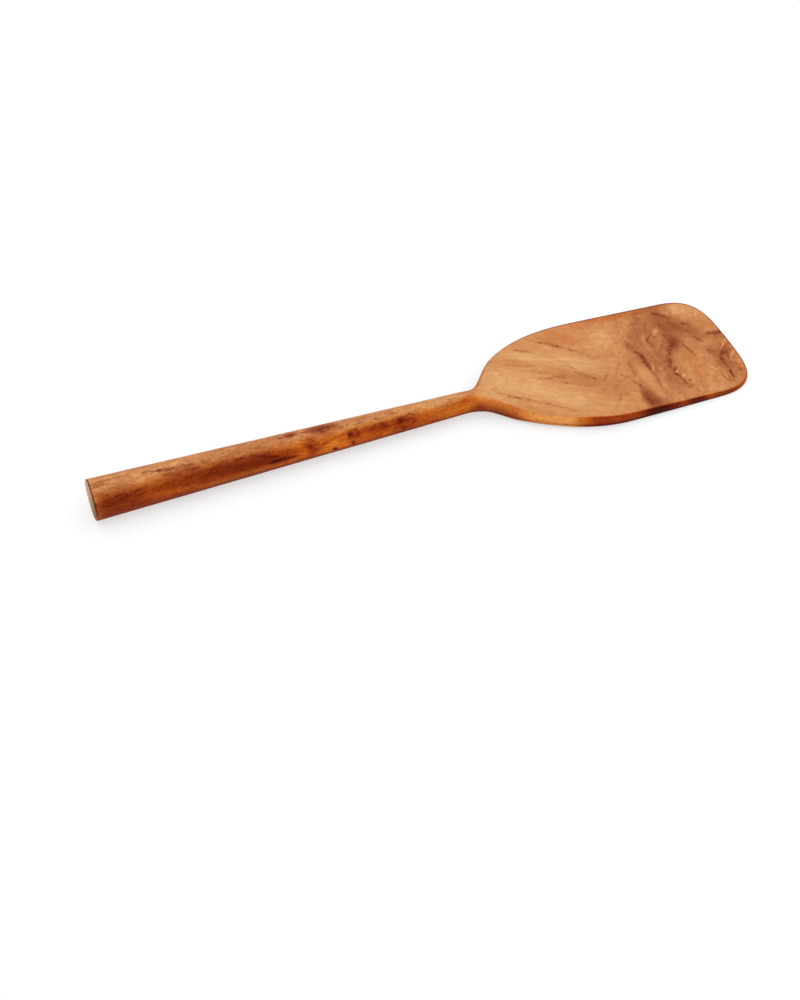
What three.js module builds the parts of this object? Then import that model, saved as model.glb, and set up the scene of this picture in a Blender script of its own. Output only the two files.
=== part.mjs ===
// A wooden spatula carved from one board: a round tapered handle, a slim neck and a thin flat blade.
// X runs from the butt of the handle to the tip of the blade, Z is up. It lies on its butt and on the flat
// underside between the blade's corners, with the neck held just clear of the table.

import * as THREE from 'three';

const { clamp, lerp, smoothstep } = THREE.MathUtils;

// Driving sizes, in millimetres

// Lengths along X
const OVERALL_LENGTH = 330;
const BLADE_LENGTH = 137;
const SHOULDER_LENGTH = 65;
const CORNER_LENGTH = 21.4;

// Handle
const BUTT_DIAMETER = 20;
const NECK_DIAMETER = 10.6;
const BUTT_ROUND = 0.8;

// Blade outline: the two shoulders swing out unlike, as cut by hand. A short reach makes a square shoulder.
const BLADE_WIDTH = 72.6;
const TIP_WIDTH = 71.8;
const LEFT_SHOULDER_REACH = 18.4;
const RIGHT_SHOULDER_REACH = 34.6;
const NECK_FILLET = 8;
const CORNER_WIDTH = 22;
const TIP_BOW = 0.4;

// Blade thickness, and the rounding of its edge
const ROOT_THICKNESS = 9.3;
const MIDDLE_THICKNESS = 5.3;
const TIP_THICKNESS = 2.1;
const EDGE_ROUND = 1.2;

// How high the underside of the neck stands over the table
const NECK_LIFT = 1.7;

// Where the round handle runs out into the flat blade, measured from the neck
const FLATTEN_BEFORE_NECK = 14;
const FLATTEN_PAST_NECK = 24;
const EDGE_RUN_OUT = 14;

// Shape of the rounding: an ellipse on the handle, a squarer curve on the blade's edge
const ROUND_SECTION_POWER = 2;
const EDGE_SECTION_POWER = 3;

// How far a corner's curve follows its two sides before it turns, as a share of the corner
const CORNER_FULLNESS = 0.68;

// Fineness of the facets
const HANDLE_STEPS = 16;
const NECK_STEPS = 18;
const SHOULDER_STEPS = 22;
const SIDE_STEPS = 5;
const CORNER_STEPS = 14;
const TIP_STEPS = 6;
const RIM_STEPS = 4;
const EDGE_STEPS = 12;

// Places along X that follow from the sizes
const neckX = OVERALL_LENGTH - BLADE_LENGTH;
const shoulderEndX = neckX + SHOULDER_LENGTH;
const cornerX = OVERALL_LENGTH - TIP_BOW - CORNER_LENGTH;

// Plan of the handle: a straight taper from butt to neck

function handleRadius(x) {
  return lerp(BUTT_DIAMETER, NECK_DIAMETER, clamp(x / neckX, 0, 1)) / 2;
}

// Plan of the blade: how far the shoulder stands out past the neck's side. Past the neck it is a parabola
// that leaves the neck towards a point `reach` further on and levels out at the blade's full width.

function shoulderRise(x, reach) {
  const fullRise = (BLADE_WIDTH - NECK_DIAMETER) / 2;
  if (x < neckX) {
    return fullRise * (x - neckX) / reach;
  }
  const along = Math.min(x - neckX, SHOULDER_LENGTH);
  const bend = SHOULDER_LENGTH - 2 * reach;
  const t = along / (reach + Math.sqrt(reach * reach + bend * along));
  const drawnIn = clamp((x - shoulderEndX) / (cornerX - shoulderEndX), 0, 1);
  return fullRise * t * (2 - t) - drawnIn * drawnIn * (BLADE_WIDTH - TIP_WIDTH) / 2;
}

// The larger of two heights, with the inner corner between them filled over `fillet`

function filletedMax(a, b, fillet) {
  const overlap = Math.max(fillet - Math.abs(a - b), 0);
  return Math.max(a, b) + overlap * overlap / (4 * fillet);
}

function halfWidth(x, reach) {
  const handleRise = handleRadius(x) - NECK_DIAMETER / 2;
  return NECK_DIAMETER / 2 + filletedMax(handleRise, shoulderRise(x, reach), NECK_FILLET);
}

// Side view: the underside, which slopes down from the neck and is flat between the corners, and the thickness

function undersideHeight(x) {
  if (x < neckX) {
    return NECK_LIFT * (x - BUTT_ROUND) / (neckX - BUTT_ROUND);
  }
  return NECK_LIFT * Math.max(cornerX - x, 0) / (cornerX - neckX);
}

function thickness(x) {
  const f = clamp((x - neckX) / BLADE_LENGTH, 0, 1);
  const bow = 2 * MIDDLE_THICKNESS - (ROOT_THICKNESS + TIP_THICKNESS) / 2;
  const blade = ROOT_THICKNESS * (1 - f) ** 2 + 2 * bow * f * (1 - f) + TIP_THICKNESS * f ** 2;
  const flattened = smoothstep(x, neckX - FLATTEN_BEFORE_NECK, neckX + FLATTEN_PAST_NECK);
  return lerp(2 * handleRadius(x), blade, flattened);
}

// Even steps from one number to another, leaving out the last

function steps(from, to, count) {
  return Array.from({ length: count }, (_, i) => lerp(from, to, i / count));
}

// One side of the plan outline, from the butt to the middle of the tip

function sideOutline(reach) {
  const points = [];
  const neckStart = neckX - FLATTEN_BEFORE_NECK;
  const neckEnd = neckX + FLATTEN_BEFORE_NECK;
  const stations = [
    ...steps(0, Math.PI / 2, RIM_STEPS).map((angle) => BUTT_ROUND * (1 - Math.cos(angle))),
    ...steps(BUTT_ROUND, neckStart, HANDLE_STEPS),
    ...steps(neckStart, neckEnd, NECK_STEPS),
    ...steps(neckEnd, shoulderEndX, SHOULDER_STEPS),
    ...steps(shoulderEndX, cornerX, SIDE_STEPS),
  ];
  for (const x of stations) {
    points.push(new THREE.Vector2(x, halfWidth(x, reach)));
  }

  const cornerY = halfWidth(cornerX, reach);
  const tipY = cornerY - CORNER_WIDTH;
  const sideSlope = -(BLADE_WIDTH - TIP_WIDTH) / (cornerX - shoulderEndX);
  const tipSlope = -2 * TIP_BOW / tipY;
  const onSide = CORNER_FULLNESS * CORNER_LENGTH;
  const onTip = CORNER_FULLNESS * CORNER_WIDTH;
  const corner = new THREE.CubicBezierCurve(
    new THREE.Vector2(cornerX, cornerY),
    new THREE.Vector2(cornerX + onSide, cornerY + onSide * sideSlope),
    new THREE.Vector2(cornerX + CORNER_LENGTH + onTip * tipSlope, tipY + onTip),
    new THREE.Vector2(cornerX + CORNER_LENGTH, tipY),
  );
  points.push(...corner.getPoints(CORNER_STEPS));

  for (const y of steps(tipY, 0, TIP_STEPS).slice(1)) {
    points.push(new THREE.Vector2(OVERALL_LENGTH - TIP_BOW * (y / tipY) ** 2, y));
  }
  points.push(new THREE.Vector2(OVERALL_LENGTH, 0));
  return points;
}

// One side of the section at an outline point, from the middle of the underside over the edge to the middle of
// the top. It lies across the handle and blade, and fans out from the middle line round the corner and tip.

function sideSection(outline, slope, sign) {
  const footX = Math.min(outline.x, cornerX);
  const width = Math.hypot(outline.x - footX, outline.y);
  const runOut = smoothstep(outline.x, neckX, neckX + EDGE_RUN_OUT);
  const square = lerp(handleRadius(outline.x), EDGE_ROUND, runOut);
  const round = Math.min(width, square * Math.hypot(1, slope));
  const power = lerp(ROUND_SECTION_POWER, EDGE_SECTION_POWER, runOut);
  const rim = Math.max(BUTT_ROUND - outline.x, 0);
  const rimInset = BUTT_ROUND - Math.sqrt(BUTT_ROUND ** 2 - rim ** 2);

  const at = (fromEdge, level) => {
    const out = width > 0 ? 1 - fromEdge / width : 0;
    const x = lerp(footX, outline.x, out);
    const half = thickness(x) / 2;
    const z = undersideHeight(x) + half + level * (half - rimInset);
    return new THREE.Vector3(x, sign * out * (outline.y - rimInset), z);
  };

  const points = [at(width, -1)];
  for (let i = 0; i <= EDGE_STEPS; i += 1) {
    const angle = Math.PI * (i / EDGE_STEPS - 0.5);
    const fromEdge = round * (1 - Math.cos(angle) ** (2 / power));
    const level = Math.sign(angle) * Math.abs(Math.sin(angle)) ** (2 / power);
    points.push(at(i % EDGE_STEPS === 0 ? round : fromEdge, level));
  }
  points.push(at(width, 1));
  return points;
}

// Closed rings round the body, one for each outline point: up the right side and down the left

function sectionRings() {
  const right = sideOutline(RIGHT_SHOULDER_REACH);
  const left = sideOutline(LEFT_SHOULDER_REACH);
  const slopeAt = (side, i) => {
    const next = side[i + 1];
    return next && next.x <= cornerX ? (next.y - side[i].y) / (next.x - side[i].x) : 0;
  };
  return right.map((point, i) => {
    const up = sideSection(point, slopeAt(right, i), -1);
    const down = sideSection(left[i], slopeAt(left, i), 1).reverse();
    return [...up, ...down.slice(1, -1)];
  });
}

// Skin over the rings, with a flat face across the butt. Points that fall together become one vertex, and a
// triangle that closes up to a line is left out.

function skin(rings) {
  const positions = [];
  const triangles = [];
  const known = new Map();
  const vertex = (point) => {
    const key = point.toArray().map((value) => Math.round(value * 1e4)).join();
    if (!known.has(key)) {
      known.set(key, positions.length / 3);
      positions.push(point.x - OVERALL_LENGTH / 2, point.y, point.z);
    }
    return known.get(key);
  };
  const triangle = (a, b, c) => {
    if (a !== b && b !== c && c !== a) {
      triangles.push(a, b, c);
    }
  };

  const loops = rings.map((ring) => ring.map(vertex));
  for (let i = 0; i + 1 < loops.length; i += 1) {
    const near = loops[i];
    const far = loops[i + 1];
    near.forEach((corner, j) => {
      const k = (j + 1) % near.length;
      triangle(corner, far[j], far[k]);
      triangle(corner, far[k], near[k]);
    });
  }

  const butt = loops[0];
  for (let low = 0, high = butt.length - 1; low + 1 < high; low += 1, high -= 1) {
    triangle(butt[low], butt[low + 1], butt[high]);
    triangle(butt[low + 1], butt[high - 1], butt[high]);
  }

  const geometry = new THREE.BufferGeometry();
  geometry.setAttribute('position', new THREE.Float32BufferAttribute(positions, 3));
  geometry.setIndex(triangles);
  geometry.computeVertexNormals();
  return geometry;
}

const oiledTeak = new THREE.MeshStandardMaterial({ color: 0xb9783f, roughness: 0.5, metalness: 0 });

const body = new THREE.Mesh(skin(sectionRings()), oiledTeak);
body.name = 'spatula_body';

const spatula = new THREE.Group();
spatula.add(body);

export default spatula;
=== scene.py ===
import math
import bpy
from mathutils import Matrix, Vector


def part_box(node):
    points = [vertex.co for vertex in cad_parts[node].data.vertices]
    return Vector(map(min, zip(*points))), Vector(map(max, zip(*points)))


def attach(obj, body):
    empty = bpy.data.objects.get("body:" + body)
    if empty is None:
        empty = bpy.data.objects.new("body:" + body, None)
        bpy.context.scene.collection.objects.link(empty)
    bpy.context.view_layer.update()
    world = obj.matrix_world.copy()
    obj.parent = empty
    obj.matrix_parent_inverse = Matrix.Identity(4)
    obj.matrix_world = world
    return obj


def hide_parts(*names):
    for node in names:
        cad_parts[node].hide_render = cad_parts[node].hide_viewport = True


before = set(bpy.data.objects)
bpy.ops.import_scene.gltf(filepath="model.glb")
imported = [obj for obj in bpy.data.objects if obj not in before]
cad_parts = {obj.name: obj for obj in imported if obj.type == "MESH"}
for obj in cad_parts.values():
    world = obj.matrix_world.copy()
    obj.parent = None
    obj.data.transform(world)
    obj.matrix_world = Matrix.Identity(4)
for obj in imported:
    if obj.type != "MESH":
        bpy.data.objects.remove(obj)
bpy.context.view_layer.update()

from types import SimpleNamespace

import bmesh
import bpy
from bpy.props import FloatProperty, FloatVectorProperty, PointerProperty
from mathutils import Vector

bl_info = {
    "name": "Carved Wooden Spatula",
    "version": (1, 0, 0),
    "blender": (4, 5, 0),
    "location": "View3D > Sidebar > Spatula",
    "description": "Lofts a wooden spatula carved from one board and gives it a figured, oiled finish",
    "category": "Add Mesh",
}

MM = 0.001
BODY_NODE = "spatula_body"
BODY_LOW, BODY_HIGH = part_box(BODY_NODE)
BODY_SIZE = BODY_HIGH - BODY_LOW


# What a user may change

def length(label, description, default):
    """A size in metres."""
    return FloatProperty(
        name=label, description=description, default=default, min=0.0, precision=4, unit="LENGTH"
    )


def colour(label, description, default):
    """A colour in linear red, green and blue."""
    return FloatVectorProperty(
        name=label, description=description, default=default, size=3, min=0.0, max=1.0, subtype="COLOR"
    )


def angle_setting(label, description, degrees):
    """An angle, written in degrees."""
    return FloatProperty(name=label, description=description, default=math.radians(degrees), subtype="ANGLE")


def share_setting(label, description, default):
    """A share from 0 to 1."""
    return FloatProperty(
        name=label, description=description, default=default, min=0.0, max=1.0, subtype="FACTOR"
    )


class SpatulaSizes(bpy.types.PropertyGroup):
    """Sizes of the carved body"""

    overall_length: length("Overall Length", "From the butt to the tip", BODY_SIZE.x)
    blade_length: length("Blade Length", "From the neck to the tip", 137 * MM)
    blade_width: length("Blade Width", "Across the blade at its widest", BODY_SIZE.y)
    tip_width: length("Tip Width", "Across the blade where its corners start", 71.8 * MM)
    shoulder_length: length("Shoulder Length", "From the neck to the full width", 65 * MM)
    left_reach: length("Left Reach", "Short for a square left shoulder", 18.4 * MM)
    right_reach: length("Right Reach", "Short for a square right shoulder", 34.6 * MM)
    neck_fillet: length("Neck Fillet", "Fills the corner of handle and shoulder", 8 * MM)
    corner_length: length("Corner Length", "Rounded tip corner, along the blade", 21.4 * MM)
    corner_width: length("Corner Width", "Rounded tip corner, across the blade", 22 * MM)
    tip_bow: length("Tip Bow", "How far the tip bulges between its corners", 0.4 * MM)
    butt_diameter: length("Butt Diameter", "Handle at its sawn end", 20 * MM)
    neck_diameter: length("Neck Diameter", "Handle where the blade starts", 10.6 * MM)
    butt_round: length("Butt Round", "Rounding of the sawn end's rim", 0.8 * MM)
    root_thickness: length("Root Thickness", "Blade at the neck", 9.3 * MM)
    middle_thickness: length("Middle Thickness", "Blade half way along", 5.3 * MM)
    tip_thickness: length("Tip Thickness", "Blade at the tip", 2.1 * MM)
    edge_round: length("Edge Round", "Rounding of the blade's edge", 1.2 * MM)
    neck_lift: length("Neck Lift", "Underside of the neck over the table", 1.7 * MM)
    flatten_before: length("Flatten Before Neck", "Where flattening starts", 14 * MM)
    flatten_past: length("Flatten Past Neck", "Where flattening ends", 24 * MM)
    edge_run_out: length("Edge Run-out", "Where the edge is square, past the neck", 14 * MM)
    hand_finish: length("Hand Finish", "Depth of the waves that hand sanding leaves", 0.14 * MM)


class SpatulaFinish(bpy.types.PropertyGroup):
    """Colours and gloss of the oiled wood"""

    plain_wood: colour("Plain Wood", "Main colour of the flat faces", (0.6, 0.262, 0.097))
    brown_tint: colour("Brown Tint", "What one depth of brown heartwood lets through", (0.45, 0.263, 0.237))
    orange_tint: colour("Orange Tint", "What one depth of orange wood lets through", (0.95, 0.775, 0.635))
    # The side tint is partly oil soaked into the sides and edges, and partly painted shade on the sides
    side_tint: colour("Side Tint", "What the oil on sides and edges lets through", (0.85, 0.375, 0.072))
    end_wood: colour("End Wood", "Pale part of the handle's sawn end", (0.7, 0.4, 0.23))
    end_dark_side: colour("End Dark Side", "Brown part of the handle's sawn end", (0.22, 0.09, 0.03))
    roughness: share_setting("Roughness", "Low for polished wood", 0.5)


class SpatulaStage(bpy.types.PropertyGroup):
    """Camera, light and floor"""

    azimuth: angle_setting("Azimuth", "Turn of the view", -21.589)
    elevation: angle_setting("Elevation", "Height of the view", 46.391)
    distance: length("Distance", "From the camera to the point it aims at", 0.8)
    aim: FloatVectorProperty(
        name="Aim",
        description="Point on the floor at the picture's centre",
        default=(-30.34 * MM, -42.73 * MM, 0.0),
        subtype="XYZ",
    )
    lens: FloatProperty(name="Lens", description="Focal length", default=62.17, min=1.0, unit="CAMERA")
    lamp: FloatProperty(name="Lamp", description="Strength of the soft lamp", default=2.7, min=0.0)
    lamp_tilt: angle_setting("Lamp Tilt", "How far the lamp stands back, or in front where it is below 0", -6)
    lamp_spread: angle_setting("Lamp Spread", "Width of the lamp in the sky", 110)
    sky: FloatProperty(name="Sky", description="Even light from all round", default=0.25, min=0.0)
    floor_colour: colour("Floor Colour", "Colour of the table", (0.94, 0.97, 1.0))
    floor_glow: share_setting("Floor Glow", "Share of plain white where the table is seen", 0.58)


# Arithmetic that writes nodes

class Wire:
    """A value that runs through a node tree. Arithmetic on it adds Math nodes."""

    def __init__(self, tree, socket):
        self.tree = tree
        self.socket = socket

    def math(self, operation, *others):
        return join(self.tree, "ShaderNodeMath", operation, (self, *others))

    def __add__(self, other):
        return self.math("ADD", other)

    def __sub__(self, other):
        return self.math("SUBTRACT", other)

    def __mul__(self, other):
        return self.math("MULTIPLY", other)

    def __truediv__(self, other):
        return self.math("DIVIDE", other)

    def __pow__(self, other):
        return self.math("POWER", other)

    def __rsub__(self, other):
        return self.math("MULTIPLY_ADD", -1.0, other)

    def __rtruediv__(self, other):
        return join(self.tree, "ShaderNodeMath", "DIVIDE", (other, self))

    def __rpow__(self, other):
        return join(self.tree, "ShaderNodeMath", "POWER", (other, self))

    __radd__ = __add__
    __rmul__ = __mul__

    def most(self, other):
        return self.math("MAXIMUM", other)

    def least(self, other):
        return self.math("MINIMUM", other)

    def clamped(self):
        return self.most(0.0).least(1.0)

    def towards(self, other, share):
        """The value a share of the way from this one to another."""
        return self + (other - self) * share

    def through(self, start, end):
        """How far the value has come from start to end, from 0 to 1."""
        return ((self - start) / (end - start)).clamped()

    def eased(self, start, end):
        """How far the value has come from start to end, slow at both ends."""
        share = self.through(start, end)
        return share * share * (3.0 - 2.0 * share)


def plug(tree, value, socket):
    """Links a wire to a socket, or writes a plain value on it."""
    if isinstance(value, Wire):
        tree.links.new(value.socket, socket)
    else:
        socket.default_value = value


def join(tree, kind, operation, values, output=0):
    """Adds a Math or Vector Math node on the values and gives its result."""
    node = tree.nodes.new(kind)
    node.operation = operation
    for value, socket in zip(values, node.inputs):
        plug(tree, value, socket)
    return Wire(tree, node.outputs[output])


def vectors(operation, first, second):
    """A vector made of two vectors."""
    return join(first.tree, "ShaderNodeVectorMath", operation, (first, second))


def dot(first, second):
    """How far one vector runs along another."""
    return join(first.tree, "ShaderNodeVectorMath", "DOT_PRODUCT", (first, second), "Value")


def size_of(vector):
    """The length of a vector."""
    return join(vector.tree, "ShaderNodeVectorMath", "LENGTH", (vector,), "Value")


def scaled(vector, factor):
    """A vector times a number."""
    node = vector.tree.nodes.new("ShaderNodeVectorMath")
    node.operation = "SCALE"
    plug(vector.tree, vector, node.inputs["Vector"])
    plug(vector.tree, factor, node.inputs["Scale"])
    return Wire(vector.tree, node.outputs["Vector"])


def combine(tree, *values):
    """A vector of three numbers."""
    node = tree.nodes.new("ShaderNodeCombineXYZ")
    for value, socket in zip(values, node.inputs):
        plug(tree, value, socket)
    return Wire(tree, node.outputs["Vector"])


def separate(vector):
    """The three numbers of a vector."""
    node = vector.tree.nodes.new("ShaderNodeSeparateXYZ")
    plug(vector.tree, vector, node.inputs["Vector"])
    return [Wire(vector.tree, socket) for socket in node.outputs]


def noise(vector, scale, detail=2.0, roughness=0.5, output="Fac"):
    """A noise pattern, about 0.5 on average."""
    node = vector.tree.nodes.new("ShaderNodeTexNoise")
    plug(vector.tree, vector, node.inputs["Vector"])
    node.inputs["Scale"].default_value = scale
    node.inputs["Detail"].default_value = detail
    node.inputs["Roughness"].default_value = roughness
    return Wire(vector.tree, node.outputs[output])


# The body: a grid whose first way runs from butt to tip and whose second way runs round the body

STATIONS = 421
ROUND_POINTS = 113
FLAT_SHARE = 0.3
LEAST_FLAT_SHARE = 0.002
CORNER_FULLNESS = 0.68
ROUND_SECTION_POWER = 2.0
EDGE_SECTION_POWER = 3.0
WELD_DISTANCE = 0.002 * MM
WAVE_SCALE = 45.0
WAVE_CLEARANCE = 1.5 * MM

# Attribute that holds the level of the skin: -1 underneath, 0 on the edge, 1 on top
LEVEL_ATTRIBUTE = "level"

# The share of the stations at which each stretch of the body ends
STRETCH_ENDS = {
    "cap": 0.02,
    "rim": 0.04,
    "handle": 0.38,
    "neck": 0.58,
    "shoulder": 0.78,
    "side": 0.86,
    "corner": 0.96,
    "tip": 1.0,
}


def loft_inputs(tree):
    """One named input for each size, and the wires that lead out of them."""
    keys = list(SpatulaSizes.__annotations__)
    for key in keys:
        label = SpatulaSizes.bl_rna.properties[key].name
        tree.interface.new_socket(name=label, in_out="INPUT", socket_type="NodeSocketFloat")
    tree.interface.new_socket(name="Geometry", in_out="OUTPUT", socket_type="NodeSocketGeometry")
    entry = tree.nodes.new("NodeGroupInput")
    wires = {key: Wire(tree, socket) for key, socket in zip(keys, entry.outputs)}
    return SimpleNamespace(**wires)


def places_along(size):
    """Where the body's stretches meet, measured from the butt."""
    neck = size.overall_length - size.blade_length
    return SimpleNamespace(
        neck=neck,
        neck_start=neck - size.flatten_before,
        neck_end=neck + size.flatten_before,
        shoulder_end=neck + size.shoulder_length,
        corner=size.overall_length - size.tip_bow - size.corner_length,
    )


def stretches(along):
    """How far each stretch of the body has been passed, from 0 to 1."""
    passed = {}
    start = 0.0
    for name, end in STRETCH_ENDS.items():
        passed[name] = along.through(start, end)
        start = end
    return SimpleNamespace(**passed)


def bezier(t, first, second, third, last):
    """A cubic curve between two values."""
    s = 1.0 - t
    return s * s * s * first + 3.0 * t * s * s * second + 3.0 * t * t * s * third + t * t * t * last


def handle_radius(size, place, x):
    """Half the thickness of the handle, which tapers straight from butt to neck."""
    return (size.butt_diameter / 2.0).towards(size.neck_diameter / 2.0, x.through(0.0, place.neck))


def plan_outline(size, place, passed, reach):
    """One side seen from above: along, out, and how steeply it swings out past the neck."""
    rim = 1.0 - (passed.rim * (math.pi / 2)).math("COSINE")
    x = rim * size.butt_round + passed.handle * (place.neck_start - size.butt_round)
    x = x + passed.neck * (place.neck_end - place.neck_start)
    x = x + passed.shoulder * (place.shoulder_end - place.neck_end)
    x = x + passed.side * (place.corner - place.shoulder_end)

    neck_half = size.neck_diameter / 2.0
    full_rise = size.blade_width / 2.0 - neck_half
    handle_rise = handle_radius(size, place, x) - neck_half
    past = (x - place.neck).most(0.0).least(size.shoulder_length)
    pace = (reach * reach + (size.shoulder_length - 2.0 * reach) * past).math("SQRT")
    t = past / (reach + pace)
    drawn = x.through(place.shoulder_end, place.corner)
    rise = full_rise * t * (2.0 - t) - drawn * drawn * (size.blade_width - size.tip_width) / 2.0
    rise = rise + (x - place.neck).least(0.0) * full_rise / reach
    overlap = (size.neck_fillet - (rise - handle_rise).math("ABSOLUTE")).most(0.0)
    half_width = neck_half + rise.most(handle_rise) + overlap * overlap / (4.0 * size.neck_fillet)
    lead = (rise - handle_rise).math("SIGN")
    slope = full_rise * (1.0 - t) / pace * (0.5 + lead * (0.5 - overlap / (2.0 * size.neck_fillet)))

    corner_y = size.tip_width / 2.0
    tip_y = corner_y - size.corner_width
    on_side = size.corner_length * CORNER_FULLNESS
    on_tip = size.corner_width * CORNER_FULLNESS
    side_slope = (size.tip_width - size.blade_width) / (place.corner - place.shoulder_end)
    tip_slope = size.tip_bow * -2.0 / tip_y
    corner_end = place.corner + size.corner_length
    curve_x = bezier(
        passed.corner, place.corner, place.corner + on_side, corner_end + on_tip * tip_slope, corner_end
    )
    curve_y = bezier(passed.corner, corner_y, corner_y + on_side * side_slope, tip_y + on_tip, tip_y)
    left_over = 1.0 - passed.tip
    along = x + curve_x - place.corner + size.tip_bow * (1.0 - left_over * left_over)
    out = half_width + curve_y - corner_y - tip_y * passed.tip
    return along, out, slope


def body_heights(size, place, x):
    """Height of the underside over the table, and half the thickness."""
    rising = (x - size.butt_round) / (place.neck - size.butt_round)
    falling = (place.corner - x).most(0.0) / (place.corner - place.neck)
    underside = size.neck_lift * rising.least(falling)
    f = x.through(place.neck, size.overall_length)
    bow = 2.0 * size.middle_thickness - (size.root_thickness + size.tip_thickness) / 2.0
    rest = 1.0 - f
    blade = size.root_thickness * rest * rest + 2.0 * bow * f * rest + size.tip_thickness * f * f
    flattened = x.eased(place.neck_start, place.neck + size.flatten_past)
    half = handle_radius(size, place, x).towards(blade / 2.0, flattened)
    return underside, half


def loft_point(size, along, turn):
    """Point of the skin at a station and a turn, and its level: -1 underneath, 0 on the edge, 1 on top."""
    place = places_along(size)
    passed = stretches(along)
    swing = turn * 2.0 - 1.0
    climb = 1.0 - swing.math("ABSOLUTE")
    on_left = swing.math("GREATER_THAN", 0.0)
    reach = size.right_reach.towards(size.left_reach, on_left)
    outline_x, outline_y, slope = plan_outline(size, place, passed, reach)

    foot = outline_x.least(place.corner)
    width = ((outline_x - foot) * (outline_x - foot) + outline_y * outline_y).math("SQRT")
    run_out = outline_x.eased(place.neck, place.neck + size.edge_run_out)
    square = handle_radius(size, place, outline_x).towards(size.edge_round, run_out)
    square = square * (1.0 + slope * slope).math("SQRT")
    rounding = width.least(square)
    share = ((1.0 - rounding / width) * FLAT_SHARE).most(LEAST_FLAT_SHARE)

    angle = (climb.through(share, 1.0 - share) - 0.5) * math.pi
    flat = 1.0 - climb.through(0.0, share) + climb.through(1.0 - share, 1.0)
    exponent = 2.0 / (run_out * (EDGE_SECTION_POWER - ROUND_SECTION_POWER) + ROUND_SECTION_POWER)
    bulge = angle.math("COSINE").most(0.0) ** exponent
    sine = angle.math("SINE")
    level = sine.math("SIGN") * (sine.math("ABSOLUTE") ** exponent)
    from_edge = rounding * (1.0 - bulge) + (width - rounding) * flat
    out = (1.0 - from_edge / width).most(0.0)

    rim_left = (size.butt_round - outline_x).most(0.0)
    rim_inset = size.butt_round - (size.butt_round * size.butt_round - rim_left * rim_left).math("SQRT")
    x = foot.towards(outline_x, out)
    underside, half = body_heights(size, place, x)
    y = out * (outline_y - rim_inset) * (on_left * 2.0 - 1.0) * passed.cap
    z = underside + half + level * (half - rim_inset) * passed.cap
    return x - size.overall_length / 2.0, y, z, level


def loft_tree(material):
    """The node tree that lofts the body from its sizes."""
    tree = bpy.data.node_groups.new("Spatula Loft", "GeometryNodeTree")
    tree.is_modifier = True
    size = loft_inputs(tree)

    grid = tree.nodes.new("GeometryNodeMeshGrid")
    grid.inputs["Size X"].default_value = 1.0
    grid.inputs["Size Y"].default_value = 1.0
    grid.inputs["Vertices X"].default_value = STATIONS
    grid.inputs["Vertices Y"].default_value = ROUND_POINTS
    spot = Wire(tree, tree.nodes.new("GeometryNodeInputPosition").outputs["Position"])
    across_x, across_y, _ = separate(spot)
    x, y, z, level = loft_point(size, across_x + 0.5, across_y + 0.5)

    store = tree.nodes.new("GeometryNodeStoreNamedAttribute")
    store.data_type = "FLOAT"
    store.domain = "POINT"
    store.inputs["Name"].default_value = LEVEL_ATTRIBUTE
    plug(tree, level, store.inputs["Value"])

    loft = tree.nodes.new("GeometryNodeSetPosition")
    plug(tree, combine(tree, x, y, z), loft.inputs["Position"])
    weld = tree.nodes.new("GeometryNodeMergeByDistance")
    weld.inputs["Distance"].default_value = WELD_DISTANCE

    waves = tree.nodes.new("GeometryNodeSetPosition")
    normal = Wire(tree, tree.nodes.new("GeometryNodeInputNormal").outputs["Normal"])
    clearance = separate(spot)[2].eased(0.0, WAVE_CLEARANCE)
    depth = noise(spot, WAVE_SCALE, detail=1.0) * clearance * size.hand_finish * -1.0
    plug(tree, scaled(normal, depth), waves.inputs["Offset"])

    smooth = tree.nodes.new("GeometryNodeSetShadeSmooth")
    realize = tree.nodes.new("GeometryNodeRealizeInstances")
    finish = tree.nodes.new("GeometryNodeSetMaterial")
    finish.inputs["Material"].default_value = material
    leave = tree.nodes.new("NodeGroupOutput")
    chain = [grid, store, loft, weld, waves, smooth, realize, finish, leave]
    for node, following in zip(chain, chain[1:]):
        tree.links.new(node.outputs[0], following.inputs[0])
    return tree


# The wood. Three depths tint it: brown heartwood, orange wood, and the oil that darkens the sides, which is
# partly painted shade. The brown depth also carries painted shade under the edges, on the right shoulder and
# along the left edge. A mark adds to the first two, or takes away where it is below 0. Marks are placed in
# millimetres: along from the butt, then across the blade (left is positive), or in degrees round the handle,
# from its top to the right.

ALONG = (1.0, 0.0, 0.0)
ACROSS = (0.0, 1.0, 0.0)

# The shape of a mark: how far a line thins to its ends, where a soft area fades, how long a speck is
LINE_TAPER = 0.6
AREA_FADE = (0.2, 1.35)
BLADE_SPECK_LENGTH = 1.4
HANDLE_SPECK_LENGTH = 1.3
EDGE_MARK_HALF_WIDTH = 20.0

# Noises that bend the growth lines and the marks: scale, and how far a point strays along, across and up
GRAIN_STRAY = (0.05, (5.0, 2.5, 2.5))
MARK_STRAYS = (
    (0.15, (1.0, 0.7, 0.7)),
    (0.5, (0.35, 0.25, 0.25)),
)

# Slopes of the growth lines on the blade and at its tip
SLANTING_SLOPES = (0.9, 0.42, 0.45)
STEEP_SLOPES = (0.95, 0.35, 0.3)

# Where the wood changes, in millimetres from the butt: start and end of the change
SAWN_FADE = (0.15, 0.5)
RIM_START_FADE = (0.15, 0.4)
RIM_END_FADE = (0.7, 1.2)
RIM_HIGHLIGHT_FADE = (1.0, 5.0)
BUTT_FADE = (15.0, 40.0)
HANDLE_FADE = (170.0, 205.0)
BLADE_GRAIN_FADE = (180.0, 220.0)
BLADE_GRAIN_MIDDLE = 205.0
FAR_RIM_FADE = (198.0, 214.0)
TIP_FADE = (240.0, 285.0)
STEEP_GRAIN_FADE = (255.0, 288.0)

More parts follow.
